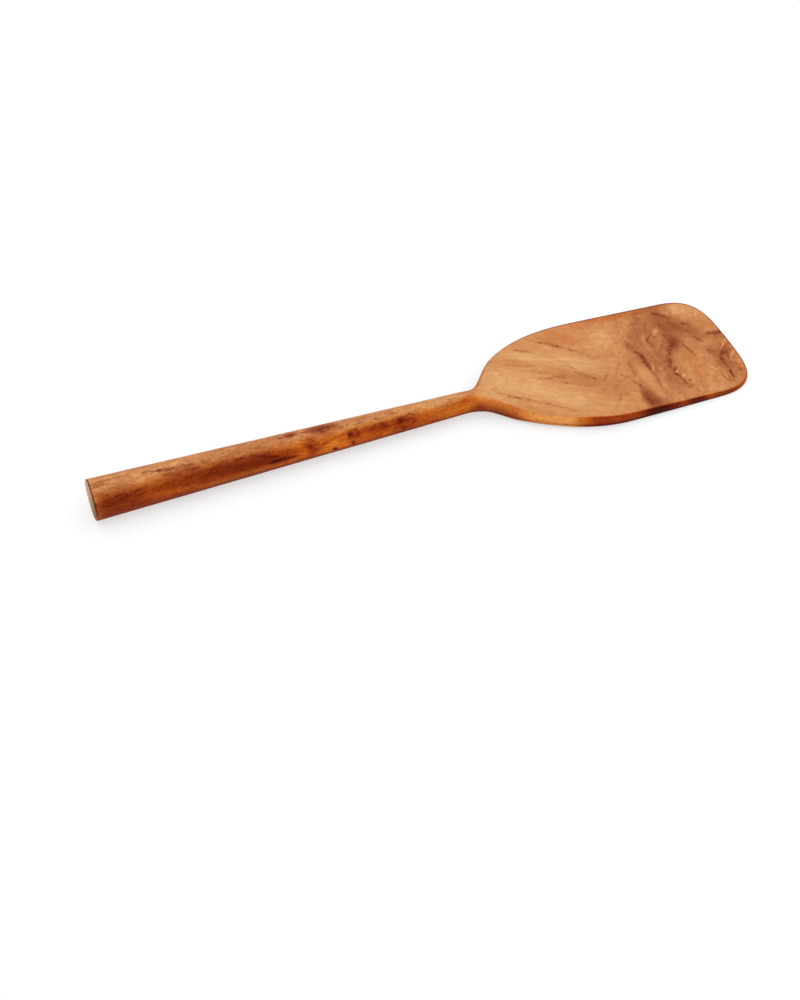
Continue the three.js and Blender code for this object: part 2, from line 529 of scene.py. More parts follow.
# The brown band across the blade: where its left edge crosses the middle, how that edge slants and curves,
# and where the band fades past its edge, along and across
BAND_START = 272.0
BAND_SLANT = 0.45
BAND_CURVE = 0.005
BAND_EDGE_FADE = (-2.0, 5.0)
BAND_END_FADE = (302.0, 316.0)
BAND_ACROSS_FADE = (-14.0, 6.0)
BAND_BROWN = 0.26
TIP_BROWN = 0.12

# Where the turn to the side starts, in radians: all over, and what handle, sharp edge and butt add
SIDE_START = (0.2, -0.06, -0.2, 0.2)
# Where it ends: all over, and what handle, sharp edge and bare wood add
SIDE_END = (0.6, 0.52, -0.36, 0.5)
# How much later the handle's left side turns, which keeps it paler as a painted sheen, and where left starts,
# in millimetres across
LEFT_SHEEN_DELAY = 0.3
LEFT_FADE = (0.0, 4.0)

# Painted shade under the edge: start and end below the middle, by level, and brown depth. Bare wood loses
# part of it
UNDER_SHADES = (
    (0.05, 0.3, 0.4),
    (0.25, 0.5, 0.7),
)
BARE_UNDER_SHADE_LOSS = 0.75

# Painted shade low on the right shoulder: its middle, half-length, fade by level, and brown depth
SHOULDER_MIDDLE = (197.0, -13.0, 0.0)
SHOULDER_HALF_LENGTH = 10.0
SHOULDER_LEVEL_FADE = (-0.2, 0.7)
SHOULDER_SHADE = 0.6

# The left edge's dark rim, which is painted shade, the dark rim over the sawn end, and the paler band beside
# it, which is a painted highlight
FAR_RIM_TURN = (0.02, 0.2)
FAR_RIM_ACROSS = (0.0, 6.0)
FAR_RIM_SHADE = 0.9
BUTT_RIM_HEIGHT = (5.0, 14.0)
BUTT_RIM_BROWN = 1.3
RIM_HIGHLIGHT_BROWN = 0.3
RIM_HIGHLIGHT_OIL = 0.4

# The handle's sawn end: the middle of its growth rings, how far apart they lie and how far they waver, in
# millimetres, and where its brown part ends
END_PITH = (0.0, -24.0, -12.0)
END_RING = 2.2
END_WAVER = 2.5
END_SLANT = 0.35
END_DARK_FADE = (-5.0, 10.0)
END_DARK_MOST = 0.97
END_DARK_DROP = 0.85
END_RING_BROWN = 0.13
END_WEIGHTS = {"fibres": 0.3, "mottle": 0.5, "specks": 0.7}

# Flecks and dashes: where the noise becomes one, the least strength of a dash and what a full one adds
FLECK_FADE = (0.06, 0.2)
DASH_FADE = (0.35, 0.65)
DASH_STRENGTH = (0.6, 0.8)

# The polish: gloss, and how far the fibres roughen it
GLOSS = 0.05
FIBRE_ROUGHNESS = 0.25
FIBRE_BUMP = 0.25
FIBRE_HEIGHT = 0.1 * MM

# How strongly two patterns turn the wood orange
ORANGE_WEIGHTS = {"cloud": 0.8, "rings": 0.6}

# How strongly each pattern browns the wood: all over, and what the handle and the tip add
PATTERN_WEIGHTS = {
    "rings": (0.28, 0.224, 0.028),
    "streaks": (0.4, 0.32, 0.04),
    "fibres": (0.25, 0.75, 0.15),
    "mottle": (0.4, 0.24, 0.3),
    "specks": (0.1, 0.4, 0.3),
    "flecks": (0.1, 0.6, 0.0),
}

# Growth lines on the blade: along, across, along, across, half-width, brown
BLADE_LINES = (
    (222, 24.8, 231, 20, 1.1, 0.3),
    (212, 19.8, 222, 15, 1.0, 0.16),
    (213, 15.4, 227, 10, 1.2, 0.2),
    (219, 9, 232, 3.6, 1.4, 0.12),
    (231, 30, 238, 25.6, 1.1, 0.22),
    (237, 26.3, 245, 20.2, 1.4, 0.38),
    (244, 21, 252.5, 13.6, 1.2, 0.3),
    (236, 31.5, 243.5, 22.6, 0.8, 0.18),
    (252, 14, 259, 5, 1.4, 0.14),
    (240, 11, 245.2, 2.6, 0.9, 0.2),
    (225, 1.4, 231, -0.8, 1.1, 0.28),
    (230, -0.2, 239, -2.4, 2.0, 0.2),
    (228.5, -2.6, 238, -6.8, 1.2, 0.16),
    (238, -7, 249, -13, 1.5, 0.12),
    (244.5, 0.4, 252, -8, 1.3, 0.3),
    (201, -3.6, 210, -9.6, 1.2, 0.22),
    (208.5, -9, 216, -13, 1.1, 0.32),
    (215, -12.6, 225, -19.8, 1.2, 0.16),
    (223.5, -18.6, 235, -28.4, 1.1, 0.18),
    (210, -16, 222, -24, 1.4, 0.1),
    (236, -20, 247, -26, 1.6, 0.1),
    (255.5, -26.5, 260, -20, 1.0, 0.2),
    (256, -9.6, 260.4, -4.4, 1.1, 0.2),
    (260.5, -9.8, 269, -0.2, 1.0, 0.2),
    (258, -17, 266, -11, 1.3, 0.12),
    (268.6, -14, 271.4, -18, 0.9, 0.3),
    (273.8, -15, 271, -19, 0.9, 0.25),
    (271.2, -18.6, 269.6, -35, 1.8, 0.42),
    (273.6, -1, 272, -11, 1.4, 0.2),
    (278.8, 14, 280, 4, 1.6, 0.3),
    (279.8, 5.6, 282, 0.4, 1.2, 0.65),
    (281.9, 1.4, 281.4, -9, 1.8, 0.8),
    (281.6, -8, 280.8, -22, 1.0, 0.36),
    (280.8, -20, 281.2, -35, 0.9, 0.16),
    (284.4, 22, 281, 12, 1.6, 0.14),
    (286.5, 0, 284, -12, 1.2, 0.16),
    (288.6, 9.4, 292, 13.2, 0.8, 0.4),
    (291.4, 12.2, 295.4, 15.8, 0.7, 0.35),
    (289.6, 9.4, 290.6, 5.6, 1.0, 0.4),
    (287.2, 11.6, 290.6, 16.6, 0.8, -0.16),
    (293.2, 13.4, 297, 16.2, 0.8, -0.16),
    (296.2, 15.6, 299.6, 18.6, 0.7, -0.18),
    (291, 2, 297, 9.8, 0.9, -0.13),
    (292, 1.6, 297.6, 8.4, 1.0, 0.22),
    (291.4, 16, 295, 23, 1.1, 0.2),
    (302.8, 21, 300.4, 13, 2.0, 0.18),
    (300.8, 12.5, 300.4, 5, 1.6, 0.22),
    (301, 5, 295, -2.4, 2.4, 0.5),
    (296, -1.5, 291.6, -9.5, 2.2, 0.3),
    (294.2, -4.6, 292.8, -8.6, 0.9, 0.5),
    (294.2, -11.2, 292.4, -14, 1.1, 0.6),
    (290.8, -15.2, 292.8, -17.6, 0.8, 0.45),
    (292.2, -19.4, 294.4, -22.2, 0.9, 0.5),
    (294.4, -24.6, 296.8, -27, 0.8, 0.35),
    (292.6, -15.6, 295, -13.6, 0.6, -0.25),
    (293.2, -20.4, 296.4, -17.8, 0.6, -0.28),
    (291.6, -20.8, 293.4, -23.4, 0.6, -0.22),
    (295.4, -25.4, 298.6, -22.8, 0.6, -0.22),
    (306.2, 3, 307.8, -7, 0.8, 0.5),
    (302.6, 29.8, 309.6, 23.4, 1.2, 0.65),
    (308, 20, 314, 10, 2.0, 0.14),
    (314, 6.4, 317, 1.6, 1.0, 0.8),
    (313, 19.4, 316.4, 15.8, 0.9, 0.4),
    (312, -1, 318.6, -7, 1.6, 0.2),
    (321.2, 6.6, 331, 5, 1.6, 0.7),
    (323.4, -8.4, 320.4, -11, 1.1, 0.6),
    (321.6, -8.6, 328.6, -3.4, 1.1, 0.5),
    (322, -10.6, 328, -7.6, 1.2, 0.4),
    (324.4, -9.6, 323.2, -13.8, 0.9, 0.4),
    (320.2, -11.6, 319.6, -18.6, 0.9, 0.5),
    (319.4, -19, 318.5, -27.8, 0.9, 0.85),
    (316.2, -25, 317.7, -32, 0.7, 0.25),
    (313.9, -25, 315.1, -32, 0.6, 0.2),
    (322.4, -15, 325.6, -21, 0.9, 0.25),
    (329, -0.2, 320.9, -9.2, 0.55, -0.5),
    (328.8, -9.4, 324.4, -13.6, 0.55, -0.5),
    (324.6, -13.6, 323.6, -18, 0.55, -0.25),
    (311.4, -14.6, 313.2, -20.4, 0.7, -0.2),
    (315.3, -18, 315.9, -27, 0.7, -0.32),
    (312.8, -25, 314.5, -34, 0.7, -0.3),
    (317, -21, 317.8, -29, 0.6, -0.35),
    (293, 12.6, 299.6, 20, 0.8, -0.2),
    (287.6, 8, 290, 15, 0.8, -0.14),
    (296.4, 13.8, 298.2, 16.8, 0.7, -0.25),
    (292.6, 31, 298, 28, 0.8, -0.2),
    (303.6, 24, 305.4, 28, 0.7, -0.14),
    (286.6, -9, 286.5, -17, 1.1, -0.2),
    (285.2, -2, 283.4, -10, 1.0, -0.14),
    (276, -3, 275.4, -16, 1.3, -0.12),
)

# Soft areas on the blade: along, across, half-length, half-width, turn in degrees, brown, orange
BLADE_AREAS = (
    (211, 1, 22, 13, -25, -0.1, -0.5),
    (231, -16, 18, 7, -35, -0.06, -0.4),
    (223, 20, 12, 6, -28, -0.08, -0.3),
    (245, 8, 24, 8, -30, -0.04, -0.4),
    (248, 26.5, 12, 7.5, -38, 0.06, 0.9),
    (283, 34, 28, 3.5, 0, 0.08, 1.0),
    (270, 21, 13, 9, 40, -0.12, -0.3),
    (244, -4.5, 13, 4.5, -33, 0.2, 0.1),
    (254, -15, 12, 9, -50, 0.16, 0.1),
    (271.5, -29, 10, 4.4, 84, 0.68, 0.2),
    (275.5, -33, 5.5, 4, -30, 0.45, 0.1),
    (290, 22, 12, 5.5, 64, 0.16, 0.0),
    (302.4, 5.4, 6, 4.4, 35, 0.58, 0.2),
    (304, 15, 11, 4.5, 80, 0.34, 0.1),
    (302, 26, 9, 4, 70, 0.22, 0.2),
    (304.5, -14, 15, 5, 88, -0.06, 0.8),
    (290, -14, 17, 7, 85, 0.36, 0.1),
    (313, 14, 13, 6.5, 118, 0.5, 0.1),
    (325, 4, 7, 4, -8, 0.4, 0.1),
    (325, 13, 5, 4.5, 0, 0.16, 0.5),
    (319, 28.5, 10, 6, -40, -0.16, -0.5),
    (321, -9, 11, 8, 60, 0.36, 0.2),
    (320, -23, 11, 7.5, 75, 0.26, 0.1),
    (309, -31.5, 7, 4, 10, -0.06, -0.2),
    (278, -17, 10, 2.2, 85, -0.1, 0.1),
)

# Specks on the blade: along, across, radius, brown
BLADE_SPECKS = (
    (223.4, 24, 0.7, 0.2),
    (226, 22.8, 0.7, 0.2),
    (240, 24.5, 0.7, 0.25),
    (242.6, 22, 0.7, 0.25),
    (244.6, 20.6, 0.8, 0.35),
    (249.6, 16, 0.8, 0.35),
    (236.6, -6, 0.9, 0.35),
    (251.4, -7.4, 0.8, 0.35),
    (205.6, -7, 0.9, 0.3),
    (213.6, -11.8, 0.8, 0.35),
    (222.3, -17.4, 0.8, 0.3),
    (260.7, 6, 0.9, 0.25),
    (265.7, -8.7, 0.8, 0.55),
    (267.3, -10.3, 0.6, 0.45),
    (267.9, -11.7, 0.7, 0.45),
    (265.8, -12.2, 0.5, 0.35),
    (261.2, -21.6, 0.8, 0.4),
    (262.2, -22.6, 0.6, 0.3),
    (290.3, 11.2, 1.1, 0.5),
    (291, 8.8, 0.8, 0.4),
    (293.6, 14.6, 0.8, 0.35),
    (295.6, 12.6, 0.7, 0.3),
    (288.2, -11.2, 1.0, 0.3),
    (292, -10, 1.1, 0.5),
    (292.2, -16.6, 1.2, 0.5),
    (293.5, -18.6, 1.2, 0.55),
    (293.5, -23.2, 1.3, 0.65),
    (296.4, -23, 0.9, 0.35),
    (294, -27, 1.2, 0.4),
    (296.7, -30.6, 0.9, 0.35),
    (293.4, -14.6, 0.6, -0.4),
    (294, -18.7, 0.7, -0.5),
    (313.7, 17.4, 0.9, 0.35),
    (301.2, 20.4, 0.9, 0.35),
    (320, -13.4, 0.8, 0.4),
    (324.5, -23.4, 1.1, 0.5),
    (322, -20.6, 0.8, 0.35),
    (316.8, -22.4, 0.7, 0.35),
    (316.5, -6.5, 1.6, 0.25),
    (218, -26, 0.7, 0.3),
    (222.5, -27.4, 0.7, 0.35),
    (226.2, -31, 0.9, 0.5),
    (229.4, -31.6, 0.8, 0.45),
    (231.4, -32.8, 0.8, 0.4),
)

# Dark and pale places along the blade's edge: along, across, half-length, brown, orange, and how far the wood
# is bare of the sides' oil and painted shade
EDGE_AREAS = (
    (197, -12, 9, 0.0, 0.7, 0.52),
    (217, -24, 17, -0.55, 1.2, 0.85),
    (229, -31, 6, -0.2, 0.3, 0.3),
    (242, -34, 6, 0.45, 0.3, 0.0),
    (256, -36, 14, 0.6, 0.0, 0.0),
    (273, -36, 10, 2.1, -0.6, 0.0),
    (285, -36, 6, 0.7, -0.6, 0.0),
    (294, -36, 6, 1.9, -0.8, 0.0),
    (310, -36, 10, 0.95, -1.5, 0.0),
    (330, 0, 12, 0.8, 0.0, 0.0),
    (202, 14, 14, 0.3, 0.4, 0.7),
    # These last two rows darken the left edge: painted shade
    (250, 35, 28, 0.6, 0.0, 0.0),
    (300, 36, 26, 0.9, 0.0, 0.0),
)

# Streaks on the handle: along, degrees, along, degrees, half-width, brown
HANDLE_LINES = (
    (0, 4, 9, 9, 0.7, 0.4),
    (1, 12, 8, 14, 0.6, 0.3),
    (3, -4, 16, -2, 0.8, 0.25),
    (4, 57, 9, 55, 0.7, 0.4),
    (9, 53, 15, 49, 0.7, 0.5),
    (11, 62, 17, 57, 0.8, 0.5),
    (17, 56, 23, 52, 0.7, 0.5),
    (20, 48, 27, 47, 0.6, 0.4),
    (6, 71, 12, 67, 0.7, 0.4),
    (19, 65, 26, 61, 0.8, 0.4),
    (25, 4, 33, 8, 0.7, 0.6),
    (31, 8, 40, 12, 0.9, 0.9),
    (39, 12, 49, 18, 0.8, 0.6),
    (47, 17, 60, 22, 0.8, 0.25),
    (34, 30, 52, 32, 1.4, 0.3),
    (26, 60, 50, 47, 1.1, 0.3),
    (50, 46, 72, 38, 1.1, 0.45),
    (70, 37, 84, 44, 1.0, 0.45),
    (79, 47, 89, 62, 0.8, 0.8),
    (83, 77, 96.4, 76, 0.9, 1.4),
    (28, 62, 58, 86, 1.1, 0.25),
    (88, -6, 104, -4, 1.4, 0.35),
    (101, 46, 107, 72, 1.0, 0.4),
    (103, 26, 109, 54, 1.0, 0.3),
    (108, 74, 112, 56, 0.9, 0.3),
    (110, 62, 119, 45, 1.0, 0.4),
    (119, 46, 128, 37, 0.9, 0.4),
    (123.6, 54, 125.2, 42, 0.8, 0.5),
    (125.2, 42, 126.8, 38, 0.7, 0.4),
    (126.8, 40, 128.4, 54, 0.7, 0.9),
    (128.4, 52, 127.2, 68, 0.8, 0.7),
    (127, 66, 124.4, 60, 0.8, 0.4),
    (123.4, 55, 125.6, 51, 0.9, 0.8),
    (130, 43, 146, 41, 1.1, 0.4),
    (145, 43, 157, 54, 1.1, 0.45),
    (130, 53, 150, 57, 1.1, 0.35),
    (140.6, 42, 143, 54, 0.8, 0.5),
    (148, 46, 151.4, 52, 1.0, 0.5),
    (155, 30, 156.6, 35, 0.6, 0.5),
    (157.4, 60, 155.8, 76, 0.7, 0.6),
    (104.6, 48, 104.2, 64, 0.9, 0.5),
    (150, 80, 153, 95, 0.9, 0.4),
    (165, 38, 190, 42, 1.0, 0.2),
    (20, -72, 74, -82, 1.2, 0.4),
    (88, -100, 152, -94, 1.2, 0.35),
    (40, -140, 112, -150, 1.4, 0.4),
    (118, 170, 178, 160, 1.0, 0.3),
)

# Soft areas on the handle: along, degrees, half-length, half-width, brown, orange
HANDLE_AREAS = (
    # This area darkens the right side towards the butt: painted shade
    (34, 80, 62, 8.0, 0.4, -0.5),
    (14, 0, 26, 7.0, 0.1, 0.0),
    (45, 56, 22, 3.0, 0.3, 0.0),
    (66, 62, 22, 4.4, 0.75, 0.0),
    (83, 62, 15, 4.0, 0.6, 0.0),
    (91, 79, 7, 1.5, 0.4, -0.6),
    (9, 70, 17, 7.0, 0.75, -0.4),
    (32, 98, 20, 2.6, 0.3, 0.0),
    (20, 86, 6, 3.0, 0.2, 0.0),
    (46, 32, 18, 2.8, 0.35, 0.0),
    (76, 22, 20, 3.5, 0.15, 0.0),
    (70, -10, 34, 6.0, 0.18, 0.0),
    (111, 1, 9, 4.0, 0.65, 0.2),
    (113, -12, 10, 3.5, 0.4, 0.2),
    (105, 60, 4.0, 4.5, 0.3, 0.2),
    (103, 36, 3.5, 3.5, 0.2, 0.2),
    (106.5, 82, 3.5, 3.0, 0.15, 0.1),
    (115, 80, 8, 4.5, -0.25, -0.9),
    (136, 6, 14, 4.5, 0.16, 0.1),
    (143, 51, 17, 2.4, 0.3, 0.3),
    (126.4, 57, 4.0, 3.0, 0.35, 0.2),
    (145, 78, 18, 4.0, 0.12, 0.1),
    (160, 72, 16, 6.0, 0.14, 0.0),
    (141, 50, 2.6, 2.0, 0.2, 0.1),
    (150, 51, 3.4, 2.2, 0.2, 0.1),
    (42, 90, 20, 4.0, -0.22, 0.0),
    (191, 92, 7, 3.0, 0.5, 0.3),
    (152, 76, 6, 5.0, 0.2, 0.0),
    # This area pales the low right side: painted light bounced from the table, with a little darkening
    (70, 102, 34, 2.4, 0.25, -2.0),
    (178, 55, 18, 7.0, -0.05, -0.9),
    (184, 24, 8, 3.0, 0.0, 0.4),
    (184, 5, 10, 5.0, 0.1, 0.4),
    (60, -95, 26, 4.0, 0.4, 0.1),
    (130, -130, 24, 3.5, 0.3, 0.0),
    (30, 170, 24, 4.0, 0.25, 0.0),
)

# Specks on the handle: along, degrees, radius, brown
HANDLE_SPECKS = (
    (96.6, -8, 1.9, 0.9),
    (99, -3, 1.0, 0.4),
    (104, -3, 1.0, 0.5),
    (107.5, 1, 0.9, 0.5),
    (111, 0, 1.2, 0.6),
    (113, -7, 1.0, 0.5),
    (115, 3, 1.1, 0.5),
    (117.5, -2, 0.8, 0.5),
    (112, 14, 0.9, 0.5),
    (121, 14, 1.4, 0.5),
    (124, 8, 0.9, 0.5),
    (48, 30, 0.9, 0.5),
    (50, 28, 0.7, 0.4),
    (70, 36, 0.8, 0.6),
    (68, 37, 0.6, 0.4),
    (84, 37, 0.6, 0.4),
    (116.2, 97, 1.1, 2.4),
    (115.4, 95, 0.8, 0.8),
    (125.4, 92, 0.9, 1.3),
    (125.6, 98, 0.7, 0.7),
    (126, 48, 0.6, -0.4),
    (127, 57, 0.6, -0.4),
    (137, 39, 0.7, 0.5),
    (150, 45, 1.1, 0.5),
    (157.4, 38, 0.7, 0.6),
    (151, 92, 0.9, 0.6),
    (138.4, 14, 0.7, 0.6),
    (147.4, 5, 0.7, 0.6),
    (149, 9, 0.6, 0.5),
    (139.6, 20, 0.6, 0.5),
    (155, 30, 0.8, 0.4),
    (5, 58, 0.8, 0.35),
    (11, 52, 0.8, 0.4),
    (15.5, 57, 0.9, 0.4),
    (1.5, 60, 0.6, 0.5),
    (20.5, 50, 0.7, 0.4),
)


def mark_group(name, inputs):
    """An empty shader group with the named inputs, and the wires that lead out of them."""
    group = bpy.data.node_groups.new(name, "ShaderNodeTree")
    for label, kind in inputs:
        group.interface.new_socket(name=label, in_out="INPUT", socket_type=kind)
    group.interface.new_socket(name="Mark", in_out="OUTPUT", socket_type="NodeSocketFloat")
    entry = group.nodes.new("NodeGroupInput")
    return group, [Wire(group, socket) for socket in entry.outputs[:len(inputs)]]


def close_group(group, mark):
    """Sends the mark out of its group."""
    leave = group.nodes.new("NodeGroupOutput")
    group.links.new(mark.socket, leave.inputs["Mark"])
    return group


def line_group():
    """A streak from one point to another, widest in its middle and soft at its sides."""
    group, (spot, start, run, width) = mark_group("Growth Line", (
        ("Spot", "NodeSocketVector"),
        ("Start", "NodeSocketVector"),
        ("Run", "NodeSocketVector"),
        ("Width", "NodeSocketFloat"),
    ))
    away = vectors("SUBTRACT", spot, start)
    share = (dot(away, run) / dot(run, run)).clamped()
    aside = size_of(vectors("SUBTRACT", away, scaled(run, share)))
    off_middle = share * 2.0 - 1.0
    reach = width * (1.0 - LINE_TAPER * off_middle * off_middle)
    ratio = aside / reach
    return close_group(group, (ratio * ratio * -1.0).math("EXPONENT"))


def area_group():
    """A long soft spot round a point, which lies along a direction."""
    group, (spot, centre, along, half_length, half_width) = mark_group("Soft Area", (
        ("Spot", "NodeSocketVector"),
        ("Centre", "NodeSocketVector"),
        ("Along", "NodeSocketVector"),
        ("Half Length", "NodeSocketFloat"),
        ("Half Width", "NodeSocketFloat"),
    ))
    away = vectors("SUBTRACT", spot, centre)
    forward = dot(away, along)
    aside = size_of(vectors("SUBTRACT", away, scaled(along, forward))) / half_width
    ahead = forward / half_length
    far = (ahead * ahead + aside * aside).math("SQRT")
    return close_group(group, 1.0 - far.eased(*AREA_FADE))


def add_mark(group, spot, *values):
    """Places one mark on the surface."""
    tree = spot.tree
    node = tree.nodes.new("ShaderNodeGroup")
    node.node_tree = group
    for value, socket in zip((spot, *values), node.inputs):
        plug(tree, value, socket)
    return Wire(tree, node.outputs["Mark"])


def on_handle(along, degrees):
    """Point on the handle's skin, in millimetres."""
    sizes = bpy.context.scene.spatula_sizes
    neck = (sizes.overall_length - sizes.blade_length) / MM
    share = along / neck
    radius = (sizes.butt_diameter * (1 - share) + sizes.neck_diameter * share) / (2 * MM)
    middle = share * sizes.neck_lift / MM + radius
    angle = math.radians(degrees)
    return Vector((along, -radius * math.sin(angle), middle + radius * math.cos(angle)))


def line_depth(group, flat_spot, spot):
    """Brown depth of all growth lines and streaks."""
    depth = 0.0
    for x, y, end_x, end_y, width, brown in BLADE_LINES:
        run = (end_x - x, end_y - y, 0.0)
        depth = depth + brown * add_mark(group, flat_spot, (x, y, 0.0), run, width)
    for x, degrees, end_x, end_degrees, width, brown in HANDLE_LINES:
        start = on_handle(x, degrees)
        run = on_handle(end_x, end_degrees) - start
        depth = depth + brown * add_mark(group, spot, start, run, width)
    return depth


def speck_depth(group, flat_spot, spot):
    """Brown depth of all specks."""
    depth = 0.0
    for x, y, radius, brown in BLADE_SPECKS:
        half_length = radius * BLADE_SPECK_LENGTH
        depth = depth + brown * add_mark(group, flat_spot, (x, y, 0.0), ACROSS, half_length, radius)
    for x, degrees, radius, brown in HANDLE_SPECKS:
        half_length = radius * HANDLE_SPECK_LENGTH
        depth = depth + brown * add_mark(group, spot, on_handle(x, degrees), ALONG, half_length, radius)
    return depth


def deepened(depths, mark, strengths):
    """Several depths, each with a mark added at its own strength."""
    return [depth + strength * mark for depth, strength in zip(depths, strengths)]


def area_depths(group, flat_spot, spot):
    """Brown and orange depth of all soft areas."""
    depths = (0.0, 0.0)
    for x, y, half_length, half_width, turn, *strengths in BLADE_AREAS:
        along = (math.cos(math.radians(turn)), math.sin(math.radians(turn)), 0.0)
        mark = add_mark(group, flat_spot, (x, y, 0.0), along, half_length, half_width)
        depths = deepened(depths, mark, strengths)
    for x, degrees, half_length, half_width, *strengths in HANDLE_AREAS:
        mark = add_mark(group, spot, on_handle(x, degrees), ALONG, half_length, half_width)
        depths = deepened(depths, mark, strengths)
    return depths


def edge_depths(group, flat_spot):
    """Brown and orange depth where other wood comes out at the blade's edge, with painted shade along its
    left side, and how far the wood is bare of oil and painted shade.
    """
    depths = (0.0, 0.0, 0.0)
    for x, y, half_length, *strengths in EDGE_AREAS:
        mark = add_mark(group, flat_spot, (x, y, 0.0), ALONG, half_length, EDGE_MARK_HALF_WIDTH)
        depths = deepened(depths, mark, strengths)
    return depths


def mix(share, base, over):
    """One colour laid over another."""
    tree = share.tree
    node = tree.nodes.new("ShaderNodeMix")
    node.data_type = "RGBA"
    plug(tree, share, node.inputs[0])
    for value, socket in ((base, node.inputs[6]), (over, node.inputs[7])):
        plug(tree, value if isinstance(value, Wire) else (*value, 1.0), socket)
    return Wire(tree, node.outputs[2])


def wood_places(tree):
    """Object coordinates in millimetres, with along measured from the butt."""
    sizes = bpy.context.scene.spatula_sizes
    source = tree.nodes.new("ShaderNodeTexCoord")
    mapping = tree.nodes.new("ShaderNodeMapping")
    mapping.inputs["Location"].default_value = (sizes.overall_length / (2 * MM), 0.0, 0.0)
    mapping.inputs["Scale"].default_value = (1 / MM, 1 / MM, 1 / MM)
    tree.links.new(source.outputs["Object"], mapping.inputs["Vector"])
    return Wire(tree, mapping.outputs["Vector"])


def stray(spot, scale, reach):
    """A vector that strays with a noise, by up to a reach along, across and up."""
    away = vectors("SUBTRACT", noise(spot, scale, detail=1.0, output="Color"), (0.5, 0.5, 0.5))
    return vectors("MULTIPLY", away, tuple(2.0 * value for value in reach))


def grain_ways(spot):
    """Across and along the growth lines, for the two ways they run, and how far the second has taken over.

    They run lengthwise all round the handle, slanting on the blade and steep at its tip.
    """
    x, y, z = separate(vectors("ADD", spot, stray(spot, *GRAIN_STRAY)))
    blade = x.eased(*BLADE_GRAIN_FADE)
    main, rise, lean = SLANTING_SLOPES
    slanting = (y.towards(y * main + (x - BLADE_GRAIN_MIDDLE) * rise, blade), x - y * lean * blade)
    main, rise, lean = STEEP_SLOPES
    steep = (x * main - y * rise, y + x * lean)
    return (slanting, steep), z, x.eased(*STEEP_GRAIN_FADE)


def grain(tree, places, fine, long):
    """A noise about 0 that is fine across the growth lines and long along them."""
    ways, z, second_share = places
    patterns = []
    for across, along in ways:
        spot = combine(tree, across * fine, along * long, z * fine)
        patterns.append(noise(spot, 1.0, detail=3.0, roughness=0.6) - 0.5)
    return patterns[0].towards(patterns[1], second_share)


def wood_patterns(tree, spot):
    """The noises of the wood: four that follow the growth lines and three that lie anywhere."""
    places = grain_ways(spot)
    return SimpleNamespace(
        rings=grain(tree, places, fine=0.12, long=0.012),
        streaks=grain(tree, places, fine=0.35, long=0.07),
        fibres=grain(tree, places, fine=1.1, long=0.18),
        flecks=grain(tree, places, fine=1.3, long=0.35).eased(*FLECK_FADE),
        cloud=noise(spot, scale=0.04, detail=2.0) - 0.5,
        mottle=noise(spot, scale=0.3, detail=4.0, roughness=0.6) - 0.5,
        specks=noise(spot, scale=0.9, detail=3.0, roughness=0.6) - 0.5,
    )


def weighted(weights, *shares):
    """The first weight, and to it each further weight times its share."""
    total = weights[0]
    for weight, share in zip(weights[1:], shares):
        total = total + share * weight
    return total


def marked_depths(area_marks, spot):
    """Brown and orange depth of the marks, and the spot on the flat that gives them their uneven outlines."""
    drifted = spot
    for scale, reach in MARK_STRAYS:
        drifted = vectors("ADD", drifted, stray(spot, scale, reach))
    flat_spot = vectors("MULTIPLY", drifted, (1.0, 1.0, 0.0))
    brown, orange = area_depths(area_marks, flat_spot, drifted)
    dashes = weighted(DASH_STRENGTH, noise(spot, scale=0.5, detail=2.0).eased(*DASH_FADE))
    brown = brown + line_depth(line_group(), flat_spot, drifted) * dashes
    brown = brown + speck_depth(area_marks, flat_spot, drifted)
    return brown, orange, flat_spot


def band_share(x, y):
    """How far a point of the blade is inside the brown band, whose left edge is curved."""
    past_edge = x - BAND_START - y * BAND_SLANT - y * y * BAND_CURVE
    along = past_edge.eased(*BAND_EDGE_FADE) * (1.0 - x.eased(*BAND_END_FADE))
    return along * y.eased(*BAND_ACROSS_FADE)


def patterned(depth, patterns, weights):
    """A depth with each named pattern added by its weight."""
    for name, weight in weights.items():
        depth = depth + getattr(patterns, name) * weight
    return depth


def skin_level(tree):
    """The level that the loft stored on the skin."""
    attribute = tree.nodes.new("ShaderNodeAttribute")
    attribute.attribute_name = LEVEL_ATTRIBUTE
    return Wire(tree, attribute.outputs["Fac"])


def side_share(turned, x, handle_share, bare):
    """How far the skin has turned to the side: gently on the handle, sharply at the blade's edge."""
    sharp = (1.0 - handle_share) * (1.0 - bare).clamped()
    near_butt = 1.0 - x.eased(*BUTT_FADE)
    start = weighted(SIDE_START, handle_share, sharp, near_butt)
    end = weighted(SIDE_END, handle_share, sharp, bare)
    return turned.eased(start, end)


